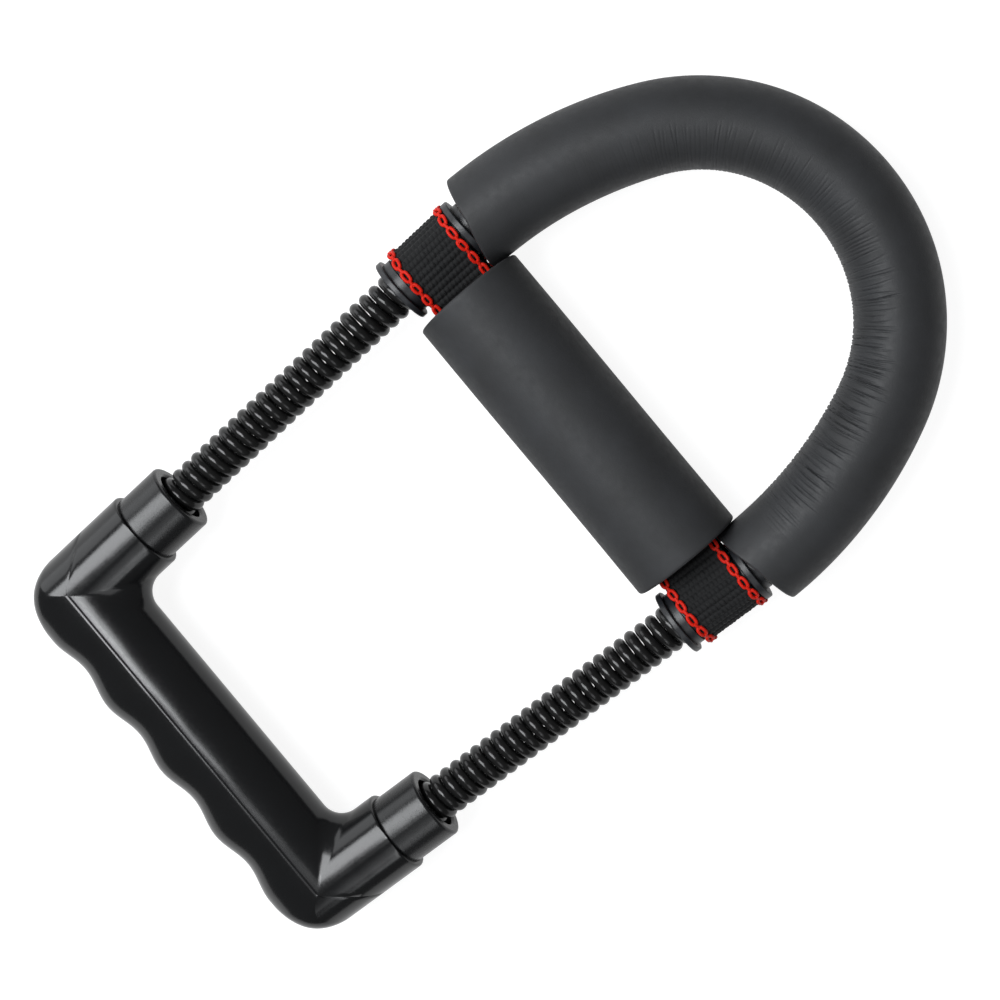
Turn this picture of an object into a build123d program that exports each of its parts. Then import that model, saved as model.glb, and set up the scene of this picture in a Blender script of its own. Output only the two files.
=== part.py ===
"""Forearm and wrist strengthener: a foam-covered steel arch and a coil-sprung hand grip.

The arch lies against the inside of the forearm and the strapped foam pad against its back, while the
hand holds the moulded grip. Bending the wrist bends the two coil springs like beams.

Frame: X across the object, +Y towards the arch, -Y towards the hand grip, Z up. All centre lines lie
in one level plane. The origin is under the middle of the whole object, at the lowest point of the pad.
"""
import os
from math import acos, atan2, cos, pi, radians, sin, sqrt

from build123d import *

# --- arch: steel bar in a foam sleeve (mm, degrees) ---
BAR_R = 3.4                 # steel bar, a push fit in the springs
BAR_CHAMFER = 0.8
CROWN_Y = 77.2              # centre of the crown arc
CROWN_R = 63.4              # bar centre line over the crown
CROWN_HALF_ANGLE = 63.7
FLANK_R = 136.15            # bar centre line along the flatter flanks
LEG_TILT = 2.2              # the straight legs lean in towards the grip
FOAM_END_ANGLE = 90.5       # where the foam stops, as a direction from the flank's centre
FOAM_R_CROWN = 14.4
FOAM_R_END = 15.6
FOAM_FILLET = 1.5

# --- cross pad, on the web strap between the legs ---
PAD_Y = 28.0
PAD_R = 19.65
PAD_HALF = 55.0
PAD_FILLET = 0.8
LINER_BORE_R = 12.8
LINER_R = 13.8
LINER_HALF = 53.0
GLUE_GAP = 0.05             # between pieces that are glued or pushed together
MID_Z = PAD_R               # level of every centre line

# --- spools: stations run along a leg from the spool's lower face, positive towards the arch ---
SPOOL_Y = 11.15
LOW_FLANGE = (11.25, 2.0)   # radius, and the station of its upper face
SHOULDER = (9.6, 4.5)
SEAT = (8.5, 28.3)
HIGH_FLANGE = (11.0, 30.6)
NECK = (8.3, 32.4)
FLANGE_FILLET = 0.4
SPOOL_BORE_R = 3.5
POCKET_R = 7.7              # takes the end of the spring
POCKET_DEPTH = 4.0

# --- web strap, one loop round both spools and through the pad ---
STRAP_LOW_Y = 16.2
STRAP_WIDTH = 22.7
STRAP_THICK = 1.6
STRAP_INNER_R = 8.95
STRAP_PINCH_X = 54.0        # where the two runs come together, at the pad's ends
STRAP_PINCH_Z = 4.0         # outer face of a run inside the pad
STITCH_WIDTH = 2.2
STITCH_RAISE = 0.35
STITCH_INSET = 1.25         # strap edge to the middle of a stitched row

# --- coil springs ---
SPRING_R = 5.5              # to the middle of the wire
WIRE_R = 2.0                # almost close-coiled
SPRING_PITCH = 4.27
SPRING_TOP = 3.8            # stations of the two ends
SPRING_BOTTOM = -118.0
BAR_END = -8.0              # the bar ends inside the spring

# --- spring sockets in the grip ---
SLEEVE_R = 12.4
SLEEVE_BORE_R = 8.75
SLEEVE_MOUTH = -99.9
SLEEVE_BASE = -126.0
SLEEVE_FLOOR = 4.0
SLEEVE_LIP = 1.0
PLUG_R = 3.4
PLUG_TIP = -104.0
PLUG_FLANGE_R = 8.6
PLUG_CHAMFER = 0.6
SCREW_R = 2.0
SCREW_HOLE_R = 2.1
SCREW_TIP = -110.0
SCREW_HEAD = (4.0, 2.6)     # radius and height
SCREW_HEAD_FILLET = 1.0
SCREW_SLOT = (1.2, 1.5)     # width and depth
WASHER = (6.0, 1.0)         # radius and thickness

# --- hand grip ---
GRIP_Y = -136.25            # crest line of the grip
GRIP_HALF_HEIGHT = 14.1     # also the radius of the two elbows
GRIP_INNER = 16.25          # crest line to the edge that faces the pad
FINGER_PITCH = 28.3
FINGER_PEAK = 18.75         # crest line to the ridges between the fingers
FINGER_WAVE = 1.3           # half the depth of a finger groove
CORNER_REACH = 21.6         # outermost ridge to the side of the grip
ELBOW_TOP = -116.5
ELBOW_LIP = 0.8
ELBOW_FILLET = 8.0
ELBOW_WEB = 5.0             # half thickness of the web in the inner corner
WALL = 3.0
COVER_RISE = 16.0           # the finger cover's seam climbs this far round each corner
WAVE_STEPS = 32             # sections of the finger grooves
CORNER_TURNS = (0, 20, 38, 54, 68, 80)  # sections round a corner, in degrees

SIDES = (("left", -1), ("right", 1))


# ---------------------------------------------------------------- frame of each leg
flank_x = (CROWN_R - FLANK_R) * sin(radians(CROWN_HALF_ANGLE))
flank_y = CROWN_Y + (CROWN_R - FLANK_R) * cos(radians(CROWN_HALF_ANGLE))
leg_angle = 90 + LEG_TILT
leg_top = (
    flank_x + FLANK_R * sin(radians(leg_angle)),
    flank_y + FLANK_R * cos(radians(leg_angle)),
)
leg_slope = sin(radians(LEG_TILT)) / cos(radians(LEG_TILT))


def leg_x(y):
    """Distance from the middle to a leg's axis, at Y."""
    return leg_top[0] + (y - leg_top[1]) * leg_slope


def leg_direction(side):
    return Vector(side * sin(radians(LEG_TILT)), cos(radians(LEG_TILT)), 0)


def leg_point(side, station):
    start = Vector(side * leg_x(SPOOL_Y), SPOOL_Y, MID_Z)
    return start + leg_direction(side) * station


def leg_profile(side):
    """Plane through a leg's axis: local x is the radius, local y the station."""
    along = leg_direction(side)
    return Plane(origin=leg_point(side, 0), x_dir=(0, 0, 1), z_dir=(-along.Y, along.X, 0))


def leg_section(side, station):
    """Plane square to a leg's axis, facing the arch."""
    return Plane(origin=leg_point(side, station), x_dir=(0, 0, 1), z_dir=leg_direction(side))


def leg_axis(side):
    return Axis(leg_point(side, 0), leg_direction(side))


def station_of(y):
    """Station on a leg's axis at Y."""
    return (y - SPOOL_Y) / cos(radians(LEG_TILT))


grip_x = leg_x(GRIP_Y)      # where each leg's axis meets the grip's crest line
corner_x = 2 * FINGER_PITCH  # outermost finger ridge


def arch_point(angle, side=1):
    """Point on the bar's centre line, by the direction from its arc's centre."""
    if angle <= CROWN_HALF_ANGLE:
        x, y = CROWN_R * sin(radians(angle)), CROWN_Y + CROWN_R * cos(radians(angle))
    else:
        x = flank_x + FLANK_R * sin(radians(angle))
        y = flank_y + FLANK_R * cos(radians(angle))
    return (side * x, y, MID_Z)


def arch_arcs(end_angle):
    """Crown arc and both flank arcs, as far as end_angle on each side."""
    middle = (CROWN_HALF_ANGLE + end_angle) / 2
    left = [arch_point(end_angle, -1), arch_point(middle, -1), arch_point(CROWN_HALF_ANGLE, -1)]
    right = [arch_point(CROWN_HALF_ANGLE), arch_point(middle), arch_point(end_angle)]
    ThreePointArc(*left)
    ThreePointArc(left[-1], arch_point(0), right[0])
    ThreePointArc(*right)


def save(builder, name):
    builder.part.label = name
    export_step(builder.part, f"parts/{name}.step")


os.makedirs("parts", exist_ok=True)

# ---------------------------------------------------------------- arch
with BuildPart() as bar:
    with BuildLine() as bar_path:
        Line(leg_point(-1, BAR_END), arch_point(leg_angle, -1))
        arch_arcs(leg_angle)
        Line(arch_point(leg_angle), leg_point(1, BAR_END))
    with BuildSketch(leg_section(-1, BAR_END)):
        Circle(BAR_R)
    sweep(path=bar_path.line)
    chamfer(bar.faces().filter_by(GeomType.PLANE).edges(), BAR_CHAMFER)
save(bar, "u_bar")

with BuildPart() as foam:
    with BuildLine() as foam_path:
        arch_arcs(FOAM_END_ANGLE)
    foam_wire = foam_path.wire()
    for place in (0, 0.5, 1):
        with BuildSketch(Plane(foam_wire.position_at(place), z_dir=foam_wire.tangent_at(place))):
            Circle(FOAM_R_CROWN if place == 0.5 else FOAM_R_END)
    sweep(path=foam_wire, multisection=True)
    fillet(foam.faces().filter_by(GeomType.PLANE).edges(), FOAM_FILLET)
    with BuildSketch(Plane(foam_wire.position_at(0), z_dir=foam_wire.tangent_at(0))):
        Circle(BAR_R + GLUE_GAP)
    sweep(path=foam_wire, mode=Mode.SUBTRACT)
save(foam, "arch_foam_grip")

# ---------------------------------------------------------------- pad
with BuildPart() as pad:
    with BuildSketch(Plane.YZ):
        with Locations((PAD_Y, MID_Z)):
            Circle(PAD_R)
    extrude(amount=PAD_HALF, both=True)
    fillet(pad.edges().filter_by(GeomType.CIRCLE), PAD_FILLET)
    with BuildSketch(Plane.YZ):
        with Locations((PAD_Y, MID_Z)):
            Circle(LINER_R + GLUE_GAP)
    extrude(amount=PAD_HALF, both=True, mode=Mode.SUBTRACT)
save(pad, "foam_pad")

with BuildPart() as liner:
    with BuildSketch(Plane.YZ):
        with Locations((PAD_Y, MID_Z)):
            Circle(LINER_R)
            Circle(LINER_BORE_R, mode=Mode.SUBTRACT)
    extrude(amount=LINER_HALF, both=True)
save(liner, "pad_liner_tube")


# ---------------------------------------------------------------- web strap and its stitching
def loop_outline(y, outer):
    """Dogbone in the XZ plane at Y: round both spools, and pinched together inside the pad.

    outer is how far the outline stands out from the strap's inner face.
    """
    radius = STRAP_INNER_R + outer
    pinch_z = STRAP_PINCH_Z - STRAP_THICK + outer
    centre_x = leg_x(y)
    reach = centre_x - STRAP_PINCH_X
    tangent = atan2(pinch_z, -reach) - acos(radius / sqrt(reach**2 + pinch_z**2))
    touch_x = centre_x + radius * cos(tangent)
    touch_z = radius * sin(tangent)
    for side in (-1, 1):
        for up in (-1, 1):
            Line((side * touch_x, up * touch_z), (side * STRAP_PINCH_X, up * pinch_z))
        ThreePointArc(
            (side * touch_x, -touch_z),
            (side * (centre_x + radius), 0),
            (side * touch_x, touch_z),
        )
    for up in (-1, 1):
        Line((-STRAP_PINCH_X, up * pinch_z), (STRAP_PINCH_X, up * pinch_z))


def loop_solid(low_y, high_y, inner, outer):
    """Closed band of the strap's shape, between two distances from its inner face."""
    with BuildPart() as band:
        for distance, mode in ((outer, Mode.ADD), (inner, Mode.SUBTRACT)):
            sections = []
            for y in (low_y, high_y):
                level = Plane(origin=(0, y, MID_Z), x_dir=(1, 0, 0), z_dir=(0, -1, 0))
                with BuildSketch(level, mode=Mode.PRIVATE) as section:
                    with BuildLine():
                        loop_outline(y, distance)
                    make_face()
                sections.append(section.sketch)
            loft(sections=sections, ruled=True, mode=mode)
    return band


strap_high_y = STRAP_LOW_Y + STRAP_WIDTH
save(loop_solid(STRAP_LOW_Y, strap_high_y, 0, STRAP_THICK), "web_strap")

stitch_rows = (
    ("upper", strap_high_y - STITCH_INSET),
    ("lower", STRAP_LOW_Y + STITCH_INSET),
)
for name, row_y in stitch_rows:
    row = loop_solid(
        row_y - STITCH_WIDTH / 2,
        row_y + STITCH_WIDTH / 2,
        STRAP_THICK + GLUE_GAP,
        STRAP_THICK + STITCH_RAISE,
    )
    save(row, f"strap_stitching_{name}")

# ---------------------------------------------------------------- spools, springs and sockets
for name, side in SIDES:
    with BuildPart() as spool:
        with BuildSketch(leg_profile(side)):
            with BuildLine():
                Polyline(
                    (POCKET_R, 0),
                    (LOW_FLANGE[0], 0),
                    LOW_FLANGE,
                    (SHOULDER[0], LOW_FLANGE[1]),
                    SHOULDER,
                    (SEAT[0], SHOULDER[1]),
                    SEAT,
                    (HIGH_FLANGE[0], SEAT[1]),
                    HIGH_FLANGE,
                    (NECK[0], HIGH_FLANGE[1]),
                    NECK,
                    (SPOOL_BORE_R, NECK[1]),
                    (SPOOL_BORE_R, POCKET_DEPTH),
                    (POCKET_R, POCKET_DEPTH),
                    close=True,
                )
            make_face()
        revolve(axis=leg_axis(side))
        flange_rims = spool.edges().filter_by(GeomType.CIRCLE)
        flange_rims = flange_rims.filter_by(lambda rim: rim.radius > (SHOULDER[0] + HIGH_FLANGE[0]) / 2)
        fillet(flange_rims, FLANGE_FILLET)
    save(spool, f"{name}_spool")

    with BuildPart() as spring:
        coil_top = SPRING_TOP - WIRE_R
        coil_bottom = SPRING_BOTTOM + WIRE_R
        with BuildLine() as coil:
            Helix(
                pitch=SPRING_PITCH,
                height=coil_top - coil_bottom,
                radius=SPRING_R,
                center=leg_point(side, coil_bottom),
                direction=leg_direction(side),
            )
        with BuildSketch(Plane(origin=coil.line @ 0, z_dir=coil.line % 0)):
            Circle(WIRE_R)
        sweep(path=coil.line, is_frenet=True)
    save(spring, f"{name}_spring")

    with BuildPart() as sleeve:
        with BuildSketch(leg_profile(side)):
            with BuildLine():
                Polyline(
                    (SLEEVE_BORE_R, SLEEVE_MOUTH),
                    (SLEEVE_R, SLEEVE_MOUTH),
                    (SLEEVE_R, SLEEVE_BASE),
                    (SCREW_HOLE_R, SLEEVE_BASE),
                    (SCREW_HOLE_R, SLEEVE_BASE + SLEEVE_FLOOR),
                    (SLEEVE_BORE_R, SLEEVE_BASE + SLEEVE_FLOOR),
                    close=True,
                )
            sleeve_face = make_face()
            fillet(sleeve_face.vertices().sort_by(Axis.Y)[-2:], SLEEVE_LIP)
        revolve(axis=leg_axis(side))
    save(sleeve, f"{name}_socket_sleeve")

    plug_base = SLEEVE_BASE + SLEEVE_FLOOR
    with BuildPart() as plug:
        with BuildSketch(leg_profile(side)):
            with BuildLine():
                Polyline(
                    (SCREW_HOLE_R, PLUG_TIP),
                    (PLUG_R - PLUG_CHAMFER, PLUG_TIP),
                    (PLUG_R, PLUG_TIP - PLUG_CHAMFER),
                    (PLUG_R, SPRING_BOTTOM - GLUE_GAP),
                    (PLUG_FLANGE_R, SPRING_BOTTOM - GLUE_GAP),
                    (PLUG_FLANGE_R, plug_base),
                    (SCREW_HOLE_R, plug_base),
                    close=True,
                )
            make_face()
        revolve(axis=leg_axis(side))
    save(plug, f"{name}_spring_plug")

    washer_base = SLEEVE_BASE - WASHER[1]
    with BuildPart() as washer:
        with BuildSketch(leg_section(side, washer_base)):
            Circle(WASHER[0])
            Circle(SCREW_HOLE_R, mode=Mode.SUBTRACT)
        extrude(amount=WASHER[1])
    save(washer, f"{name}_anchor_washer")

    with BuildPart() as screw:
        with BuildSketch(leg_section(side, washer_base)):
            Circle(SCREW_HEAD[0])
        extrude(amount=-SCREW_HEAD[1])
        fillet(screw.edges().filter_by(GeomType.CIRCLE).sort_by(Axis.Y)[0], SCREW_HEAD_FILLET)
        with BuildSketch(leg_section(side, washer_base)):
            Circle(SCREW_R)
        extrude(amount=SCREW_TIP - washer_base)
        with BuildSketch(leg_section(side, washer_base - SCREW_HEAD[1])):
            Rectangle(SCREW_SLOT[0], 3 * SCREW_HEAD[0])
        extrude(amount=SCREW_SLOT[1], mode=Mode.SUBTRACT)
    save(screw, f"{name}_anchor_screw")


# ---------------------------------------------------------------- hand grip
def finger_depth(x):
    """Crest line to the finger side: a wave of grooves, then a quarter ellipse round the corner."""
    if abs(x) <= corner_x:
        return FINGER_PEAK - FINGER_WAVE * (1 - cos(2 * pi * x / FINGER_PITCH))
    return FINGER_PEAK * sqrt(1 - ((abs(x) - corner_x) / CORNER_REACH) ** 2)


def finger_section(x, half_height):
    """Half ellipse on the finger side of the crest line, at X."""
    with BuildSketch(Plane.YZ.offset(x), mode=Mode.PRIVATE) as section:
        with BuildLine():
            EllipticalCenterArc(
                center=(GRIP_Y, MID_Z),
                x_radius=finger_depth(x),
                y_radius=half_height,
                start_angle=90,
                arc_size=180,
            )
            Line((GRIP_Y, MID_Z - half_height), (GRIP_Y, MID_Z + half_height))
        make_face()
    return section.sketch


def finger_wave():
    """Sections from one corner of the grip to the other."""
    places = [2 * step / WAVE_STEPS - 1 for step in range(WAVE_STEPS + 1)]
    return [finger_section(grip_x * place, GRIP_HALF_HEIGHT) for place in places]


def grip_corner(side):
    """Sections from the end of the crest line out to the side of the grip."""
    sections = []
    for turn in CORNER_TURNS:
        reach = GRIP_HALF_HEIGHT * sin(radians(turn))
        height = GRIP_HALF_HEIGHT * cos(radians(turn))
        sections.append(finger_section(side * (grip_x + reach), height))
    return sections


elbow_base = station_of(GRIP_Y)
inner_corner = (leg_x(GRIP_Y + GRIP_INNER) - GRIP_HALF_HEIGHT, GRIP_Y + GRIP_INNER)

with BuildPart() as outside:
    for _, side in SIDES:
        with BuildSketch(leg_section(side, elbow_base)):
            Circle(GRIP_HALF_HEIGHT)
        extrude(amount=ELBOW_TOP - elbow_base)
    fillet(outside.edges().filter_by(GeomType.CIRCLE).sort_by(Axis.Y)[-2:], ELBOW_LIP)
    with BuildSketch(Plane.YZ):
        with Locations((GRIP_Y, MID_Z)):
            Ellipse(GRIP_INNER, GRIP_HALF_HEIGHT)
        with Locations((GRIP_Y, MID_Z)):
            Rectangle(
                GRIP_INNER,
                2 * GRIP_HALF_HEIGHT,
                align=(Align.MAX, Align.CENTER),
                mode=Mode.SUBTRACT,
            )
    extrude(amount=grip_x, both=True)
    loft(sections=finger_wave())
    for _, side in SIDES:
        loft(sections=grip_corner(side))
    for _, side in SIDES:
        with BuildSketch(Plane.XY.offset(MID_Z)):
            corner = (side * inner_corner[0], inner_corner[1])
            with BuildLine():
                Polyline(
                    (corner[0], corner[1] + ELBOW_FILLET),
                    (corner[0] + side * ELBOW_FILLET, corner[1] - ELBOW_FILLET),
                    (corner[0] - side * ELBOW_FILLET, corner[1]),
                )
                RadiusArc(
                    (corner[0] - side * ELBOW_FILLET, corner[1]),
                    (corner[0], corner[1] + ELBOW_FILLET),
                    -ELBOW_FILLET * side,
                )
            make_face()
        extrude(amount=ELBOW_WEB, both=True)

with BuildPart() as hollow:
    with BuildSketch(Plane.YZ):
        with Locations((GRIP_Y, MID_Z)):
            Ellipse(FINGER_PEAK - 2 * FINGER_WAVE - WALL, GRIP_HALF_HEIGHT - WALL)
    extrude(amount=grip_x, both=True)
    for _, side in SIDES:
        with Locations((side * grip_x, GRIP_Y, MID_Z)):
            Sphere(GRIP_HALF_HEIGHT - WALL)
        with BuildSketch(leg_section(side, elbow_base)):
            Circle(GRIP_HALF_HEIGHT - WALL)
        extrude(amount=SLEEVE_BASE - elbow_base)
        with BuildSketch(leg_section(side, SLEEVE_BASE)):
            Circle(SLEEVE_R + GLUE_GAP)
        extrude(amount=ELBOW_TOP - SLEEVE_BASE)

seam_rise = grip_x + COVER_RISE
for name, mode in (("handle_inner_shell", Mode.SUBTRACT), ("handle_finger_cover", Mode.INTERSECT)):
    with BuildPart() as shell:
        add(outside.part)
        add(hollow.part, mode=Mode.SUBTRACT)
        with BuildSketch(Plane.XY):
            with BuildLine():
                Polyline(
                    (-grip_x, GRIP_Y),
                    (grip_x, GRIP_Y),
                    (seam_rise, GRIP_Y + COVER_RISE),
                    (seam_rise, GRIP_Y - CORNER_REACH),
                    (-seam_rise, GRIP_Y - CORNER_REACH),
                    (-seam_rise, GRIP_Y + COVER_RISE),
                    close=True,
                )
            make_face()
        extrude(amount=2 * MID_Z, mode=mode)
    save(shell, name)
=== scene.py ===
"""Looks for the forearm and wrist strengthener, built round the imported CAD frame.

Shapes are worked out in millimetres, in the CAD frame, and turned into metres as each mesh is made.
"""
import math

import bpy
import numpy as np
from mathutils import Matrix, Quaternion, Vector


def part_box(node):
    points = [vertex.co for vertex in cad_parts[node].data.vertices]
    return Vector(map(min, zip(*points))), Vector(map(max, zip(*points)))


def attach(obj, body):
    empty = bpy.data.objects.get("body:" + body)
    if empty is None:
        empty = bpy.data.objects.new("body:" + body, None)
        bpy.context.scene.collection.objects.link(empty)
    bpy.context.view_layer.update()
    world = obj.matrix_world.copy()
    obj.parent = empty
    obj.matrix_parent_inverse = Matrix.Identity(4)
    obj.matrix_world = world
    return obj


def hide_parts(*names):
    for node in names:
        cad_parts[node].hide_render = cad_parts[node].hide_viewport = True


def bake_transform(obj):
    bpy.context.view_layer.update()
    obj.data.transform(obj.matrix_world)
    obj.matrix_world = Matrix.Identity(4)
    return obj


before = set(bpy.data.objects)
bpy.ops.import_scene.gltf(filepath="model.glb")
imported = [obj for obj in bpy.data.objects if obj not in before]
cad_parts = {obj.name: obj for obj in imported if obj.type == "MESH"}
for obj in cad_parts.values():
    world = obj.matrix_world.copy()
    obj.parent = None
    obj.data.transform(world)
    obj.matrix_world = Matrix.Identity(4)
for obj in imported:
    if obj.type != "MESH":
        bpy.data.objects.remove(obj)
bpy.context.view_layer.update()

MM = 0.001


# ================================================================ sizes, from the frame
def box_mm(node):
    low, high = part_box(node)
    return np.array(low) / MM, np.array(high) / MM


pad_low, pad_high = box_mm("foam_pad")
MID_Z = (pad_low[2] + pad_high[2]) / 2
PAD_Y = (pad_low[1] + pad_high[1]) / 2
PAD_R = (pad_high[1] - pad_low[1]) / 2
PAD_HALF = pad_high[0]
PAD_BORE_R = 13.85

# Arch: a crown arc between two flatter flank arcs, then straight legs that lean in.
CROWN_Y = 77.2
CROWN_R = 63.4
CROWN_HALF_ANGLE = 63.7
FLANK_R = 136.15
LEG_TILT = 2.2
FOAM_END_ANGLE = 90.5
FOAM_R_CROWN = 14.4
FOAM_R_END = 15.6
BAR_R = 3.4
BAR_GAP = 0.2
END_SLANT = 0.14            # how far an end leans, for each millimetre from the bar
SLANT_FADE = 14.0           # how far from the end the lean has gone
ARCH_STEP = 0.22
ARCH_SIDES = 108
ARCH_ROUNDING = 0.8
SKIN_WAVE = 0.05

# Creases on the inside of the bend.
CREASE_MARGIN = 12.0
CREASE_DEPTH = 0.55
CREASE_WIDTHS = (0.22, 0.36)
CREASE_REACHES = (74, 99)   # degrees round the section, each way from the inside
CREASE_GAPS = (1.0, 2.1)
CREASE_WOBBLE = 0.38

# Cross pad.
PAD_SIDES = 128
PAD_ROUNDING = 1.0
PAD_CHAMFER = 0.6
PAD_WAVE = 0.045

# Stations along a leg, from the spool's lower face, positive towards the arch.
SPOOL_Y = 11.15
SPRING_R = 5.5
WIRE_R = 2.0
WIRE_SIDES = 16
STEPS_A_TURN = 44
SPRING_PITCH = 4.27
SPRING_TOP = 1.8
SPRING_BOTTOM = -116.0
SPRING_MIDDLE = -55.0
BEND_UPPER = (-10.0, -53.0)
BEND_LOWER = (-57.0, -100.0)

# Web strap round the spools.
strap_low, strap_high = box_mm("web_strap")
STRAP_THICK = 1.6
STRAP_INNER_R = 8.95
STRAP_LIFT = 0.12           # of the inner face, off the spools
STRAP_PINCH_X = 54.0
STRAP_PINCH_Z = 4.0
RIB_PITCH = 2.35
RIB_HEIGHT = 0.85
RIB_SUNK = 0.55             # how far the grooves lie under the strap's outer face
PICK_PITCH = 1.55
STITCH_INSET = 1.25
STITCH_PITCH = 5.2
RING_X, RING_Y = 1.8, 0.92  # half the length and width of a stitch's ring, at the thread's middle
THREAD_R = 0.58

# Hand grip.
GRIP_Y = -136.25
GRIP_HALF_HEIGHT = 14.1
GRIP_INNER = 16.25          # from the crest line to the side that faces the pad
FINGER_PITCH = 28.3
FINGER_PEAK = 18.75
FINGER_WAVE = 1.3           # half the depth of a finger groove
CORNER_REACH = 21.6
ELBOW_TOP = -116.5
ELBOW_LIP = 0.8
ELBOW_FILLET = 8.0
SHELL_WALL = 1.6
SEAM_DEPTH = 0.32
CREST_DEPTH = 0.08
SEAM_WIDTH = 0.35
CORNER_FADE = 2.2           # how the outer mitre turns into a rounding, away from the crest line
ELBOW_FADE = 1.3            # the same for the inner corner
CREST_RIDGE = 0.32          # how far the inner side falls away beside the crest line
RIDGE_WAVE = 0.2            # how much that changes from finger to finger

flank_x = (CROWN_R - FLANK_R) * math.sin(math.radians(CROWN_HALF_ANGLE))
flank_y = CROWN_Y + (CROWN_R - FLANK_R) * math.cos(math.radians(CROWN_HALF_ANGLE))
leg_sin, leg_cos = math.sin(math.radians(LEG_TILT)), math.cos(math.radians(LEG_TILT))
leg_top = (flank_x + FLANK_R * leg_cos, flank_y - FLANK_R * leg_sin)


def leg_x(y):
    """Distance from the middle to a leg's axis, at Y."""
    return leg_top[0] + (y - leg_top[1]) * leg_sin / leg_cos


def leg_frame(side):
    """Origin, direction towards the arch, and the two square directions of a leg's axis."""
    origin = np.array([side * leg_x(SPOOL_Y), SPOOL_Y, MID_Z])
    along = np.array([side * leg_sin, leg_cos, 0.0])
    up = np.array([0.0, 0.0, 1.0])
    return origin, along, np.cross(along, up), up


# ================================================================ meshes
def make_mesh(name, points, faces, body=None, sharp=35):
    """Object from points in millimetres."""
    mesh = bpy.data.meshes.new(name)
    mesh.from_pydata((np.asarray(points, float) * MM).tolist(), [], faces)
    mesh.validate()
    mesh.shade_smooth()
    mesh.set_sharp_from_angle(angle=math.radians(sharp))
    piece = bpy.data.objects.new(name, mesh)
    bpy.context.scene.collection.objects.link(piece)
    if body:
        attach(piece, body)
    return piece


def grid_faces(rows, columns, wrap_rows=False, wrap_columns=False, start=0, flip=False):
    """Quads between neighbouring points of a grid that is stored row by row."""
    faces = []
    for row in range(rows if wrap_rows else rows - 1):
        below = (row + 1) % rows
        for column in range(columns if wrap_columns else columns - 1):
            beside = (column + 1) % columns
            quad = (
                start + row * columns + column,
                start + row * columns + beside,
                start + below * columns + beside,
                start + below * columns + column,
            )
            faces.append(quad[::-1] if flip else quad)
    return faces


def cap_fan(ring, centre, flip=False):
    """Triangles from a ring of point numbers to a centre point."""
    count = len(ring)
    fan = [(ring[i], ring[(i + 1) % count], centre) for i in range(count)]
    return [face[::-1] for face in fan] if flip else fan


def tube(path, radius, sides, closed=False):
    """Points and faces of a round tube along a path, its rings turned as little as possible."""
    path = np.asarray(path, float)
    count = len(path)
    if closed:
        tangents = np.roll(path, -1, 0) - np.roll(path, 1, 0)
    else:
        tangents = np.gradient(path, axis=0)
    tangents /= np.linalg.norm(tangents, axis=1)[:, None]
    normal = np.cross(tangents[0], (0.3, 0.2, 0.93))
    rings = []
    turn = np.linspace(0, 2 * np.pi, sides, endpoint=False)
    for point, tangent in zip(path, tangents):
        normal = normal - tangent * normal.dot(tangent)
        normal /= np.linalg.norm(normal)
        side = np.cross(tangent, normal)
        spokes = np.cos(turn)[:, None] * normal + np.sin(turn)[:, None] * side
        rings.append(point + radius * spokes)
    points = np.concatenate(rings)
    faces = grid_faces(count, sides, wrap_rows=closed, wrap_columns=True)
    if not closed:
        first, last = len(points), len(points) + 1
        points = np.vstack([points, path[0], path[-1]])
        faces += cap_fan(list(range(sides)), first)
        faces += cap_fan(list(range((count - 1) * sides, count * sides)), last, flip=True)
    return points, faces


def joined(parts):
    """One list of points and faces from several."""
    points, faces, start = [], [], 0
    for part_points, part_faces in parts:
        points.append(part_points)
        faces += [tuple(start + number for number in face) for face in part_faces]
        start += len(part_points)
    return np.concatenate(points), faces


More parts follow.
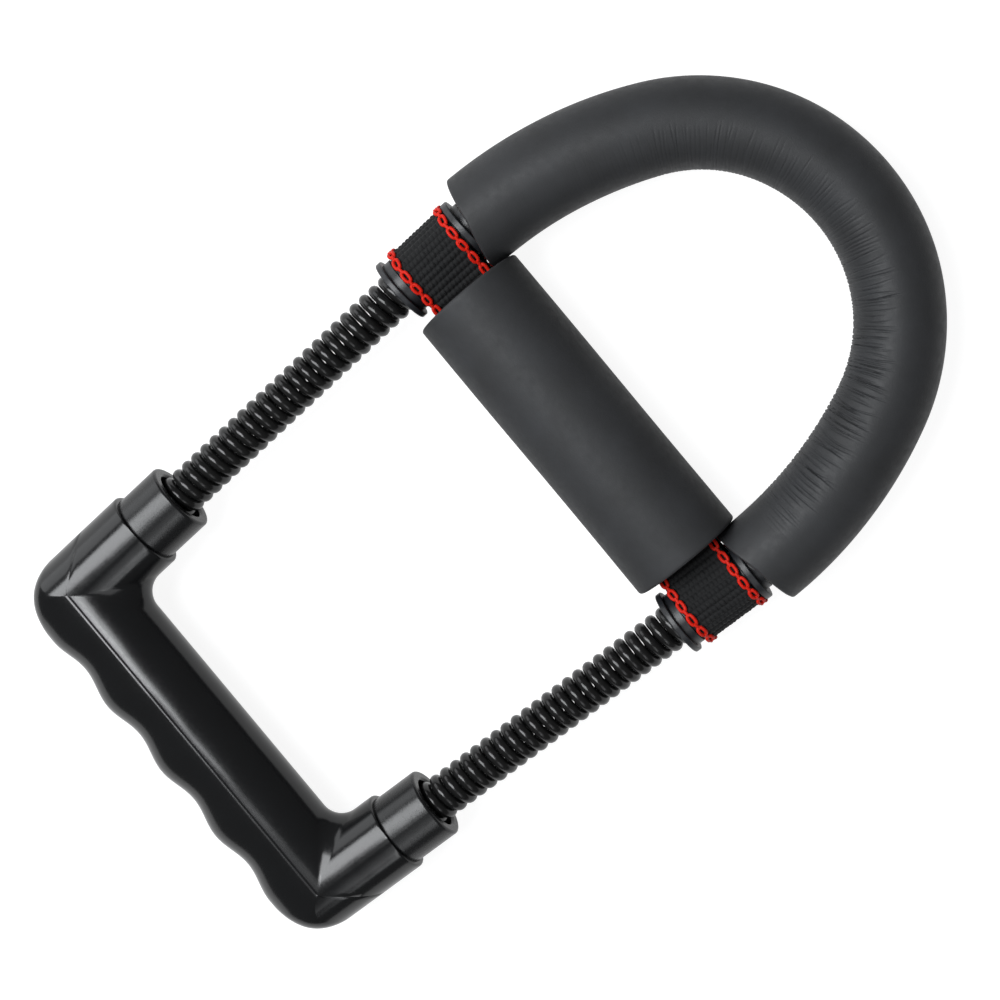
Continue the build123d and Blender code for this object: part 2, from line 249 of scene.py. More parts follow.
# ================================================================ materials
class Nodes:
    """Short way to write a node material."""

    def __init__(self, name, **values):
        self.material = bpy.data.materials.new(name)
        self.material.use_nodes = True
        self.tree = self.material.node_tree
        self.shader = self.tree.nodes["Principled BSDF"]
        for key, value in values.items():
            self.shader.inputs[key.replace("_", " ")].default_value = value

    def add(self, kind, inputs=(), **settings):
        node = self.tree.nodes.new(kind)
        for key, value in settings.items():
            setattr(node, key, value)
        for key, value in dict(inputs).items():
            self.put(value, node.inputs[key])
        return node

    def put(self, value, socket):
        if isinstance(value, bpy.types.NodeSocket):
            self.tree.links.new(value, socket)
        else:
            socket.default_value = value

    def place(self):
        """Position on the piece, in metres, which stays with it as it moves."""
        return self.add("ShaderNodeTexCoord").outputs["Object"]

    def noise(self, scale, detail=2.0, roughness=0.5, vector=None, distortion=0.0):
        inputs = {"Vector": vector or self.place(), "Scale": scale, "Detail": detail}
        inputs.update({"Roughness": roughness, "Distortion": distortion})
        return self.add("ShaderNodeTexNoise", inputs).outputs["Fac"]

    def ramp(self, value, low, high, low_out, high_out):
        inputs = {"Value": value, "From Min": low, "From Max": high}
        inputs.update({"To Min": low_out, "To Max": high_out})
        return self.add("ShaderNodeMapRange", inputs).outputs["Result"]

    def mix(self, factor, first, second):
        node = self.add("ShaderNodeMix", data_type="RGBA")
        self.put(factor, node.inputs["Factor"])
        self.put(first, node.inputs["A"])
        self.put(second, node.inputs["B"])
        return node.outputs["Result"]

    def maths(self, operation, first, second=0.0):
        return self.add("ShaderNodeMath", {0: first, 1: second}, operation=operation).outputs[0]

    def bump(self, height, distance, strength=1.0, before=None):
        inputs = {"Height": height, "Distance": distance, "Strength": strength}
        if before:
            inputs["Normal"] = before
        return self.add("ShaderNodeBump", inputs).outputs["Normal"]

    def finish(self, color=None, roughness=None, normal=None):
        if color:
            self.put(color, self.shader.inputs["Base Color"])
        if roughness:
            self.put(roughness, self.shader.inputs["Roughness"])
        if normal:
            self.put(normal, self.shader.inputs["Normal"])
        return self.material


def grey(value, tint=0.0):
    """Linear grey, a little bluer with a positive tint."""
    return (value * (1 - tint / 2), value, value * (1 + tint), 1.0)


def foam_material(name, tone, roughness):
    """Closed-cell foam: fine cells, a matt skin and a faint mottling."""
    n = Nodes(name, Roughness=roughness, Specular_IOR_Level=0.27)
    cloud = n.noise(55.0, 4.0, 0.6)
    cells = n.noise(5200.0, 2.0, 0.6)
    pores = n.add("ShaderNodeTexVoronoi", {"Vector": n.place(), "Scale": 2300.0})
    shade = n.ramp(n.maths("ADD", cloud, n.maths("MULTIPLY", cells, 0.35)), 0.45, 0.9, 0.0, 1.0)
    color = n.mix(shade, grey(tone * 0.86, 0.04), grey(tone * 1.12, 0.07))
    rough = n.ramp(n.noise(400.0, 3.0), 0.3, 0.7, roughness - 0.05, roughness + 0.06)
    normal = n.bump(cells, 0.00006, 0.5)
    normal = n.bump(pores.outputs["Distance"], 0.00005, 0.35, normal)
    return n.finish(color, rough, normal)


def gloss_material(name, tone, roughness):
    """Moulded gloss plastic: faint flow waves, fine handling marks."""
    n = Nodes(name, Roughness=roughness, Specular_IOR_Level=0.44)
    flow = n.noise(38.0, 2.0, 0.5)
    marks = n.noise(900.0, 4.0, 0.65)
    color = n.mix(n.noise(120.0, 3.0), grey(tone * 0.9, 0.05), grey(tone * 1.1, 0.08))
    rough = n.ramp(marks, 0.35, 0.75, roughness - 0.02, roughness + 0.04)
    normal = n.bump(flow, 0.0004, 0.45)
    normal = n.bump(marks, 0.00001, 0.1, normal)
    return n.finish(color, rough, normal)


def satin_material(name, tone, roughness=0.36):
    """Moulded nylon with a fine spark-eroded grain."""
    n = Nodes(name, Roughness=roughness, Specular_IOR_Level=0.5)
    grain = n.noise(3500.0, 3.0, 0.6)
    color = n.mix(n.noise(160.0, 3.0), grey(tone * 0.85, 0.14), grey(tone * 1.15, 0.22))
    rough = n.ramp(grain, 0.3, 0.7, roughness - 0.05, roughness + 0.08)
    return n.finish(color, rough, n.bump(grain, 0.00004, 0.4))


def wire_material(name, tone):
    """Black coated spring wire, a little uneven."""
    n = Nodes(name, Roughness=0.2, Specular_IOR_Level=0.42)
    drawn = n.noise(700.0, 3.0, 0.6)
    color = n.mix(drawn, grey(tone * 0.7), grey(tone * 1.4))
    rough = n.ramp(n.noise(1500.0, 3.0), 0.3, 0.7, 0.15, 0.26)
    return n.finish(color, rough, n.bump(drawn, 0.00006, 0.35))


def steel_material(name, tone, roughness, metallic=1.0):
    """Bare or zinc-plated steel, with turning or drawing marks."""
    n = Nodes(name, Roughness=roughness, Metallic=metallic)
    stretch = n.add("ShaderNodeMapping", {"Vector": n.place(), "Scale": (40.0, 3.0, 40.0)})
    lines = n.noise(60.0, 4.0, 0.7, vector=stretch.outputs[0])
    color = n.mix(lines, grey(tone * 0.8), grey(tone * 1.15))
    rough = n.ramp(lines, 0.3, 0.7, roughness - 0.08, roughness + 0.12)
    return n.finish(color, rough, n.bump(lines, 0.00003, 0.4))


def webbing_material(name, tone):
    """Heavy polyester webbing: fine filaments over the modelled ribs."""
    n = Nodes(name, Roughness=0.8, Specular_IOR_Level=0.3)
    n.shader.inputs["Sheen Weight"].default_value = 0.08
    n.shader.inputs["Sheen Roughness"].default_value = 0.4
    threads = n.noise(2600.0, 3.0, 0.65)
    color = n.mix(threads, grey(tone * 0.4), grey(tone * 1.9, 0.08))
    rough = n.ramp(threads, 0.3, 0.7, 0.7, 0.9)
    return n.finish(color, rough, n.bump(threads, 0.00012, 0.7))


def thread_material(name):
    """Red polyester thread, twisted and slightly shiny."""
    n = Nodes(name, Roughness=0.6, Specular_IOR_Level=0.2)
    twist = n.noise(3000.0, 2.0, 0.6)
    color = n.mix(twist, (0.42, 0.006, 0.003, 1), (0.85, 0.024, 0.008, 1))
    rough = n.ramp(twist, 0.3, 0.7, 0.42, 0.62)
    return n.finish(color, rough, n.bump(twist, 0.0001, 0.6))


ARCH_FOAM = foam_material("arch_foam_material", 0.033, 0.5)
PAD_FOAM = foam_material("pad_foam_material", 0.036, 0.58)
HANDLE = gloss_material("handle_material", 0.0075, 0.17)
SLEEVE = gloss_material("sleeve_material", 0.0085, 0.26)
SPOOL = satin_material("spool_material", 0.0145)
WIRE = wire_material("wire_material", 0.0085)
WEBBING = webbing_material("webbing_material", 0.0085)
THREAD = thread_material("thread_material")
BAR = steel_material("bar_material", 0.35, 0.4)
FASTENER = steel_material("fastener_material", 0.5, 0.3)
LINER = satin_material("liner_material", 0.03, 0.5)


def dress(piece, material):
    piece.data.materials.clear()
    piece.data.materials.append(material)


# ================================================================ arch foam
def arch_path(step):
    """Middle line of the foam from the left end to the right, its outward normals and lengths."""
    crown = CROWN_R * math.radians(CROWN_HALF_ANGLE)
    flank = FLANK_R * math.radians(FOAM_END_ANGLE - CROWN_HALF_ANGLE)
    half = crown + flank
    lengths = np.linspace(-half, half, int(2 * half / step) + 1)
    reach = np.abs(lengths)
    angle = np.where(
        reach <= crown,
        reach / CROWN_R,
        math.radians(CROWN_HALF_ANGLE) + (reach - crown) / FLANK_R,
    )
    sine, cosine = np.sin(angle), np.cos(angle)
    on_crown = reach <= crown
    x = np.where(on_crown, CROWN_R * sine, flank_x + FLANK_R * sine)
    y = np.where(on_crown, CROWN_Y + CROWN_R * cosine, flank_y + FLANK_R * cosine)
    side = np.sign(lengths) + (lengths == 0)
    centre = np.stack([side * x, y, np.full_like(x, MID_Z)], 1)
    normal = np.stack([side * sine, cosine, np.zeros_like(x)], 1)
    return centre, normal, lengths


def smoothstep(value, low, high):
    t = np.clip((value - low) / (high - low), 0, 1)
    return t * t * (3 - 2 * t)


def wrinkles(lengths, turn, rng):
    """Depth of the small creases where the foam is squeezed on the inside of the bend.

    turn is the angle round the section, 0 on the outside of the arch and pi on the inside.
    """
    depth = np.zeros((len(lengths), len(turn)))
    inside = np.abs(np.angle(np.exp(1j * (turn - np.pi))))
    place = lengths[0] + CREASE_MARGIN
    while place < lengths[-1] - CREASE_MARGIN:
        # creases are deepest from the crown down the right flank, and faint left of the crown
        right = smoothstep(place, -40, 55) * (1 - smoothstep(place, 100, 126))
        size = (right + 0.4 * math.exp(-(((place + 48) / 32) ** 2))) * rng.uniform(0.45, 1.0)
        reach = math.radians(rng.uniform(*CREASE_REACHES))
        middle = np.pi + rng.normal(0, 0.05)
        wobble = rng.normal(0, CREASE_WOBBLE, 3)
        window = 1 - smoothstep(np.abs(turn - middle), reach * 0.7, reach)
        line = place + wobble[0] * np.sin(2.2 * turn + wobble[1])
        line = line + wobble[2] * np.sin(5 * turn) * 0.5
        near = np.abs(lengths - place) < 4
        offset = lengths[near][:, None] - line[None, :]
        width = rng.uniform(*CREASE_WIDTHS)
        # a groove with a low lip on either side
        groove = np.exp(-((offset / width) ** 2)) - 0.3 * np.exp(-((offset / (2.4 * width)) ** 2))
        depth[near] += CREASE_DEPTH * size * groove * window[None, :]
        place += rng.uniform(*CREASE_GAPS)
    return depth * (1 - smoothstep(inside, 1.4, 1.8))[None, :]


def arch_foam():
    rng = np.random.default_rng(7)
    centre, normal, lengths = arch_path(ARCH_STEP)
    turn = np.linspace(0, 2 * np.pi, ARCH_SIDES, endpoint=False)
    away = np.abs(lengths) / lengths[-1]
    radius = FOAM_R_CROWN + (FOAM_R_END - FOAM_R_CROWN) * smoothstep(away, 0.25, 0.95)
    radius = radius[:, None] - wrinkles(lengths, turn, rng)
    # soft unevenness of the skin
    for wave in range(6):
        phase = rng.uniform(0, 2 * np.pi, 2)
        rate = rng.uniform(0.03, 0.12)
        lengthwise = SKIN_WAVE * np.sin(lengths * rate + phase[0])[:, None]
        radius += lengthwise * np.cos(turn * (wave % 3) + phase[1])
    up = np.array([0.0, 0.0, 1.0])
    ring = np.cos(turn)[None, :, None] * normal[:, None, :] + np.sin(turn)[None, :, None] * up
    # the cut ends are rounded over, then flat to the bar
    end = lengths[-1] - np.abs(lengths)
    rise = np.sqrt(np.maximum(ARCH_ROUNDING**2 - (ARCH_ROUNDING - end) ** 2, 0))
    inset = np.where(end < ARCH_ROUNDING, ARCH_ROUNDING - rise, 0)
    radius = radius - inset[:, None]
    # bending has pulled the outer side of each end back from its spool, and pushed the inner on
    along = np.gradient(centre, axis=0)
    along /= np.linalg.norm(along, axis=1)[:, None]
    slant = np.where(np.cos(turn) > 0, END_SLANT, 2 * END_SLANT) * np.cos(turn)
    pull = slant[None, :] * radius * (1 - smoothstep(end, 0, SLANT_FADE))[:, None]
    slide = along * -np.sign(lengths)[:, None]
    points = centre[:, None, :] + ring * radius[:, :, None] + slide[:, None, :] * pull[:, :, None]
    bore = [centre[i] + ring[i] * (BAR_R + BAR_GAP) for i in (0, -1)]
    rows = np.array([bore[0], *points, bore[1]])
    faces = grid_faces(len(rows), ARCH_SIDES, wrap_rows=True, wrap_columns=True)
    piece = make_mesh("arch_foam", rows.reshape(-1, 3), faces, "arch_frame", sharp=60)
    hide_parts("arch_foam_grip")
    dress(piece, ARCH_FOAM)


# ================================================================ cross pad
def pad_foam():
    rng = np.random.default_rng(11)
    # half of the outline, from the bore's mouth out to the round side; the other half mirrors it
    arc = np.linspace(0, np.pi / 2, 7)
    half_x = [PAD_HALF - PAD_CHAMFER, PAD_HALF - 0.05]
    half_x += list(PAD_HALF - PAD_ROUNDING + PAD_ROUNDING * np.cos(arc))
    half_r = [PAD_BORE_R, PAD_BORE_R + PAD_CHAMFER]
    half_r += list(PAD_R - PAD_ROUNDING + PAD_ROUNDING * np.sin(arc))
    straight = PAD_HALF - PAD_ROUNDING
    body_x = np.linspace(straight, -straight, 121)[1:-1]
    x = np.concatenate([half_x, body_x, -np.array(half_x[::-1])])
    r = np.concatenate([half_r, np.full(len(body_x), PAD_R), half_r[::-1]])
    turn = np.linspace(0, 2 * np.pi, PAD_SIDES, endpoint=False)
    radius = np.repeat(r[:, None], PAD_SIDES, 1)
    outer = smoothstep(r, PAD_BORE_R + 1, PAD_R)[:, None]
    for wave in range(1, 6):
        phase = rng.uniform(0, 2 * np.pi, 2)
        rate = rng.uniform(0.02, 0.07)
        lengthwise = np.sin(x * rate + phase[0])[:, None]
        swell = 1 + lengthwise * np.cos(turn * (wave % 3) + phase[1])
        radius -= PAD_WAVE * outer * swell
    points = np.stack(
        [
            np.repeat(x[:, None], PAD_SIDES, 1),
            PAD_Y + radius * np.cos(turn),
            MID_Z + radius * np.sin(turn),
        ],
        2,
    )
    faces = grid_faces(len(x), PAD_SIDES, wrap_rows=True, wrap_columns=True)
    piece = make_mesh("cross_pad_foam", points.reshape(-1, 3), faces, "cross_pad", sharp=60)
    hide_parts("foam_pad")
    dress(piece, PAD_FOAM)


# ================================================================ web strap and stitching
def loop_corners(y, raise_by):
    """Tangent point and spool centre of the strap's dogbone outline at Y."""
    radius = STRAP_INNER_R + raise_by
    pinch_z = STRAP_PINCH_Z - STRAP_THICK + raise_by
    centre = leg_x(y)
    reach = centre - STRAP_PINCH_X
    tangent = math.atan2(pinch_z, -reach) - math.acos(radius / math.hypot(reach, pinch_z))
    return centre, radius, tangent, pinch_z


def loop_outline(y, raise_by, fractions):
    """Points and outward normals round the strap at Y, for fractions of each of its runs.

    Runs, starting at the middle of the upper side: to the pinch, slope, round the right spool,
    slope, along the lower side, and so on round the left spool. Returns x, z and the normals.
    """
    centre, radius, tangent, pinch_z = loop_corners(y, raise_by)
    middle = np.array([0.0, pinch_z])
    pinch = np.array([STRAP_PINCH_X, pinch_z])
    slope_normal = np.array([math.cos(tangent), math.sin(tangent)])
    touch = np.array([centre, 0.0]) + radius * slope_normal
    level_normal = np.array([0.0, 1.0])
    lower = np.array([1.0, -1.0])
    runs = (
        (middle, pinch, level_normal),
        (pinch, touch, slope_normal),
        None,                   # round the spool
        (touch * lower, pinch * lower, slope_normal * lower),
        (pinch * lower, middle * lower, level_normal * lower),
    )
    points, normals = [], []
    for side in (1, -1):
        for run, run_fractions in zip(runs, fractions):
            for f in run_fractions:
                if run:
                    start, end, normal = run
                    point = start + (end - start) * f
                else:
                    angle = tangent * (1 - 2 * f)
                    normal = np.array([math.cos(angle), math.sin(angle)])
                    point = np.array([centre, 0.0]) + radius * normal
                points.append(point * side)
                normals.append(normal * side)
    return np.array(points), np.array(normals)


def run_lengths():
    """Lengths of the five runs of half the loop, at the strap's middle."""
    middle_y = (strap_low[1] + strap_high[1]) / 2
    centre, radius, tangent, pinch_z = loop_corners(middle_y, STRAP_THICK)
    touch = np.array([centre + radius * math.cos(tangent), radius * math.sin(tangent)])
    slope = np.linalg.norm(touch - (STRAP_PINCH_X, pinch_z))
    return [STRAP_PINCH_X, slope, 2 * tangent * radius, slope, STRAP_PINCH_X]


def strap_row(outline, y):
    return np.stack([outline[:, 0], np.full(len(outline), y), MID_Z + outline[:, 1]], 1)


def web_strap():
    lengths = run_lengths()
    half_loop = sum(lengths)
    ribs = round(2 * half_loop / RIB_PITCH)
    fractions, stations, travelled = [], [], 0.0
    for length in lengths:
        count = max(4, round(length / 0.3))
        run = (np.arange(count) + 0.5) / count
        fractions.append(run)
        stations.append(travelled + run * length)
        travelled += length
    station = np.concatenate(stations + [s + half_loop for s in stations])
    width = np.linspace(strap_low[1] + 0.25, strap_high[1] - 0.25, 90)
    rib_phase = station / (2 * half_loop) * ribs * 2 * np.pi
    rib_number = np.floor(station / (2 * half_loop) * ribs).astype(int)
    rng = np.random.default_rng(3)
    shift = rng.normal(0, 0.5, ribs)[rib_number]
    uneven = rng.uniform(0.72, 1.0, (ribs, 40))
    rows = []
    for y in width:
        points, normals = loop_outline(y, STRAP_THICK, fractions)
        # ribs run across the strap; each is a row of small rounded picks, about half a step apart
        across = (y - strap_low[1]) / PICK_PITCH * 2 * np.pi + np.pi * (rib_number % 2) + shift
        pick_number = np.floor(across / (2 * np.pi)).astype(int) + 2
        pick = np.abs(np.sin(across / 2)) ** 0.8 * uneven[rib_number, pick_number]
        rib = np.abs(np.sin(rib_phase / 2)) ** 0.65
        edge = min(y - strap_low[1], strap_high[1] - y)
        rounding = 0.35 * max(0.0, 1 - edge / 0.9) ** 2
        height = RIB_HEIGHT * rib * (0.42 + 0.58 * pick) - RIB_SUNK - rounding
        rows.append(strap_row(points + normals * height[:, None], y))
    for y in (width[-1], width[0]):
        rows.append(strap_row(loop_outline(y, STRAP_LIFT, fractions)[0], y))
    rows = np.array(rows)
    faces = grid_faces(len(rows), rows.shape[1], wrap_rows=True, wrap_columns=True, flip=True)
    piece = make_mesh("web_strap_ribbed", rows.reshape(-1, 3), faces, "arch_frame", sharp=70)
    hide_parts("web_strap")
    dress(piece, WEBBING)


def outline_at(y, raise_by, station):
    """Point and normal of the strap's outline at a distance along the loop."""
    lengths = run_lengths()
    half_loop = sum(lengths)
    side_index, rest = divmod(station % (2 * half_loop), half_loop)
    fractions = [[] for _ in lengths]
    for index, length in enumerate(lengths):
        if rest <= length or index == len(lengths) - 1:
            fractions[index] = [min(rest / length, 1.0)]
            break
        rest -= length
    points, normals = loop_outline(y, raise_by, fractions)
    return points[int(side_index)], normals[int(side_index)]


def chain_stitch(name, row_y, node):
    """Chain stitch: rings of thick thread, each joined to the next by a short pinched neck."""
    around = 2 * sum(run_lengths())
    links = round(around / STITCH_PITCH)
    pitch = around / links
    rng = np.random.default_rng(5)

    def on_strap(along, across, lift):
        point, normal = outline_at(row_y, STRAP_THICK - 0.1, along)
        lifted = point + normal * (lift + THREAD_R * 0.4)
        return (lifted[0], row_y + across, MID_Z + lifted[1])

    parts = []
    for link in range(links):
        middle = link * pitch + rng.normal(0, 0.12)
        skew = rng.normal(0, 0.12)
        path = []
        for angle in np.linspace(0, 2 * np.pi, 20, endpoint=False):
            forward = math.copysign(abs(math.cos(angle)) ** 0.75, math.cos(angle))
            wide = math.copysign(abs(math.sin(angle)) ** 0.8, math.sin(angle))
            lift = 0.12 + 0.3 * abs(math.sin(angle))
            path.append(on_strap(middle + RING_X * forward, RING_Y * wide + skew * forward, lift))
        parts.append(tube(path, THREAD_R, 8, closed=True))
        neck = []
        for step in np.linspace(-0.25, 1.25, 5):
            along = middle + RING_X + step * (pitch - 2 * RING_X)
            neck.append(on_strap(along, skew * (1 - step), 0.38 - step * 0.2))
        parts.append(tube(neck, THREAD_R * 1.05, 8))
    points, faces = joined(parts)
    piece = make_mesh(name, points, faces, "arch_frame", sharp=80)
    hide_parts(node)
    dress(piece, THREAD)


# ================================================================ springs
def springs():
    turns_per_mm = 1 / SPRING_PITCH
    for name, side in (("left", -1), ("right", 1)):
        origin, along, across, up = leg_frame(side)
        halves = (
            ("upper", SPRING_TOP, SPRING_MIDDLE, "arch_frame", "springs", BEND_UPPER),
            ("lower", SPRING_MIDDLE, SPRING_BOTTOM, "springs", "hand_grip", BEND_LOWER),
        )
        for half, top, bottom, body_a, body_b, bend in halves:
            count = int((top - bottom) * turns_per_mm * STEPS_A_TURN) + 2
            station = np.linspace(top, bottom, count)
            phase = (station - SPRING_BOTTOM) * turns_per_mm * 2 * np.pi
            # right-handed about the direction towards the arch
            path = (
                origin
                + station[:, None] * along
                + SPRING_R * np.cos(phase)[:, None] * up
                + SPRING_R * np.sin(phase)[:, None] * np.cross(along, up)
            )
            points, faces = spring_tube(path, origin, along)
            piece = make_mesh(f"{name}_spring_{half}", points, faces, sharp=50)
            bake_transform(piece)
            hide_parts(f"{name}_spring")
            dress(piece, WIRE)


def spring_tube(path, origin, along):
    """Tube with rings set by the spring's axis, so that the two halves meet point for point."""
    sides = WIRE_SIDES
    offset = path - origin
    radial = offset - (offset @ along)[:, None] * along
    radial /= np.linalg.norm(radial, axis=1)[:, None]
    around = np.cross(along, radial)
    lead = SPRING_PITCH / (2 * np.pi * SPRING_R)
    tangent = around + along * lead
    tangent /= np.linalg.norm(tangent, axis=1)[:, None]
    binormal = np.cross(tangent, radial)
    turn = np.linspace(0, 2 * np.pi, sides, endpoint=False)
    rings = (
        path[:, None, :]
        + WIRE_R * np.cos(turn)[None, :, None] * radial[:, None, :]
        + WIRE_R * np.sin(turn)[None, :, None] * binormal[:, None, :]
    )
    points = rings.reshape(-1, 3)
    count = len(path)
    faces = grid_faces(count, sides, wrap_columns=True)
    points = np.vstack([points, path[0], path[-1]])
    faces += cap_fan(list(range(sides)), count * sides)
    last_ring = list(range((count - 1) * sides, count * sides))
    faces += cap_fan(last_ring, count * sides + 1, flip=True)
    return points, faces


# ================================================================ hand grip
corner_x = 2 * FINGER_PITCH


def level_rows():
    """Heights and side-reaches of the rows, from the upper crest line round to the lower one."""
    near = [0.0, SEAM_WIDTH / GRIP_INNER, 0.05, 0.09]
    angles = np.array(near + list(np.linspace(0.13, np.pi / 2, 30)))
    angles = np.concatenate([angles, np.pi - angles[-2::-1]])
    return np.cos(angles), np.sin(angles)


def neck_point(station, reach, outward):
    """Plan point beside the right leg's axis."""
    y = SPOOL_Y + station * leg_cos
    out = 1 if outward else -1
    return leg_x(y) + out * reach * leg_cos, y - out * reach * leg_sin


def neck_columns(last_station, radius, wide, inset, outward):
    """Plan points down an elbow's neck, starting with its rounded lip."""
    points = []
    for turn in np.linspace(0, np.pi / 2, 5):
        shrink = 0.0 if inset else ELBOW_LIP * (1 - math.sin(turn))
        station = ELBOW_TOP - ELBOW_LIP * (1 - math.cos(turn))
        points.append(neck_point(station, (radius - shrink) * wide, outward))
    first = ELBOW_TOP - ELBOW_LIP
    for share in np.linspace(0, 1, 20)[1:]:
        points.append(neck_point(first + (last_station - first) * share, radius * wide, outward))
    return points


def grip_point(level, wide, x, y, inset, ridge=0.0):
    height = (GRIP_HALF_HEIGHT - inset) * level
    return (x, y, MID_Z + height - math.copysign(ridge * wide * (1 - wide), level))


def inner_half(inset):
    """Right half of the side that faces the pad: down the neck, round the elbow, along the grip."""
    rows = []
    for level, wide in zip(*level_rows()):
        radius = GRIP_HALF_HEIGHT - inset
        edge_y = GRIP_Y + (GRIP_INNER - inset) * wide
        bend = (ELBOW_FILLET + inset) * wide**ELBOW_FADE
        touch_y = edge_y + bend * (1 - leg_sin)
        last_station = (touch_y - radius * wide * leg_sin - SPOOL_Y) / leg_cos
        plan = neck_columns(last_station, radius, wide, inset, outward=False)
        centre_x, centre_y = plan[-1][0] - bend * leg_cos, edge_y + bend
        for turn in np.linspace(-math.radians(LEG_TILT), -np.pi / 2, 13)[1:]:
            plan.append((centre_x + bend * math.cos(turn), centre_y + bend * math.sin(turn)))
        row = [grip_point(level, wide, x, y, inset) for x, y in plan]
        for share in np.linspace(0, 1, 45)[1:]:
            x = centre_x * (1 - share)
            ridge = CREST_RIDGE + RIDGE_WAVE * math.cos(2 * np.pi * x / FINGER_PITCH)
            ridge *= smoothstep(share, 0, 0.25)
            row.append(grip_point(level, wide, x, edge_y, inset, ridge))
        if wide < 1e-6 and not inset:
            # the seam along the crest line is sunk a little
            keep = 1 - CREST_DEPTH / radius
            for number in range(len(plan) - 1, len(row)):
                x, y, z = row[number]
                row[number] = (x, y, MID_Z + (z - MID_Z) * keep)
        rows.append(row)
    return np.array(rows)


def seam_station(radius, wide):
    """Where the finger cover's seam, at 45 degrees from the crest line, crosses the neck."""
    rise = radius * wide / (1 - leg_sin / leg_cos)
    return (GRIP_Y + rise + radius * wide * leg_sin - SPOOL_Y) / leg_cos


def outer_neck(inset):
    """Outer side of the right neck, down to the finger cover's seam."""
    rows = []
    for level, wide in zip(*level_rows()):
        radius = GRIP_HALF_HEIGHT - inset
        last = seam_station(radius, wide)
        plan = neck_columns(last, radius, wide, inset, outward=True)
        if not inset and wide > 0.1:
            plan[-2] = neck_point(last + SEAM_WIDTH, radius * wide, True)
            plan[-1] = neck_point(last, (radius - SEAM_DEPTH) * wide, True)
        rows.append([grip_point(level, wide, x, y, inset) for x, y in plan])
    return np.array(rows)


def cover_half(inset):
    """Right half of the finger side: from the seam round the corner, then over the grooves."""
    rows = []
    for level, wide in zip(*level_rows()):
        radius = GRIP_HALF_HEIGHT - inset
        last = seam_station(radius, wide)
        # the mitre is a crease at the crest line and a wide rounding at the side
        round_x, round_y = CORNER_REACH * wide**CORNER_FADE, FINGER_PEAK * wide**CORNER_FADE
        start_y = GRIP_Y - FINGER_PEAK * wide + round_y
        level_station = (start_y + radius * wide * leg_sin - SPOOL_Y) / leg_cos
        beside_seam = min(0.5, SEAM_WIDTH / max(radius * wide, 1))
        shares = np.concatenate([[0, beside_seam], np.linspace(0.15, 1, 10)])
        plan = []
        for number, share in enumerate(shares):
            sunk = SEAM_DEPTH if number == 0 and not inset and wide > 0.1 else 0
            station = last + (level_station - last) * share
            plan.append(neck_point(station, (radius - sunk) * wide, True))
        centre_x = plan[-1][0] - round_x
        fall = round_y - inset * wide
        for turn in np.linspace(np.pi / 2, 0, 30)[1:]:
            plan.append((centre_x + round_x * math.sin(turn), start_y - fall * math.cos(turn)))
        for x in np.linspace(centre_x, 0, 90)[1:]:
            phase = 2 * np.pi * min(x, corner_x) / FINGER_PITCH
            depth = FINGER_PEAK - FINGER_WAVE * (1 - math.cos(phase)) - inset
            plan.append((x, GRIP_Y - depth * wide))
        sink = CREST_DEPTH / radius if wide < 1e-6 and not inset else 0
        rows.append([grip_point(level * (1 - sink), wide, x, y, inset) for x, y in plan])
    return np.array(rows)


def with_mirror(half):
    """Both halves of a grid whose last column is on the middle plane."""
    mirrored = half[:, -2::-1] * (-1, 1, 1)
    return np.concatenate([half, mirrored], 1)


def closed_shell(patches):
    """Closed wall from grids of its outer surface and the matching grids of its inner surface."""
    outer = np.concatenate([grid.reshape(-1, 3) for grid, _, _ in patches])
    inner = np.concatenate([grid.reshape(-1, 3) for _, grid, _ in patches])
    faces, start = [], 0
    for grid, _, flip in patches:
        faces += grid_faces(*grid.shape[:2], start=start, flip=flip)
        start += grid.shape[0] * grid.shape[1]
    _, first, number = np.unique(np.round(outer, 3), axis=0, return_index=True, return_inverse=True)
    number = number.reshape(-1)
    outer, inner = outer[first], inner[first]
    welded = []
    for face in faces:
        ring = tuple(dict.fromkeys(int(number[corner]) for corner in face))
        if len(ring) > 2:
            welded.append(ring)
    count = len(outer)
    edges = {edge for face in welded for edge in zip(face, face[1:] + face[:1])}
    rim = [(b, a, a + count, b + count) for a, b in edges if (b, a) not in edges]
    back = [tuple(corner + count for corner in face[::-1]) for face in welded]
    faces = welded + back + sorted(rim)
    points = np.vstack([outer, inner])
    volume = sum(
        np.dot(points[face[0]], np.cross(points[face[i]], points[face[i + 1]]))
        for face in faces
        for i in range(1, len(face) - 1)
    )
    if volume < 0:
        faces = [face[::-1] for face in faces]
    return points, faces


def hand_grip():
    mirror = (-1, 1, 1)
    neck, neck_back = outer_neck(0.0), outer_neck(SHELL_WALL)
    shells = (
        (
            "grip_inner_shell",
            "handle_inner_shell",
            (
                (with_mirror(inner_half(0.0)), with_mirror(inner_half(SHELL_WALL)), False),
                (neck, neck_back, True),
                (neck * mirror, neck_back * mirror, False),
            ),
        ),
        (
            "grip_finger_cover",
            "handle_finger_cover",
            ((with_mirror(cover_half(0.0)), with_mirror(cover_half(SHELL_WALL)), False),),
        ),
    )
    for name, node, patches in shells:
        points, faces = closed_shell(patches)
        piece = make_mesh(name, points, faces, "hand_grip", sharp=38)
        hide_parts(node)
        dress(piece, HANDLE)


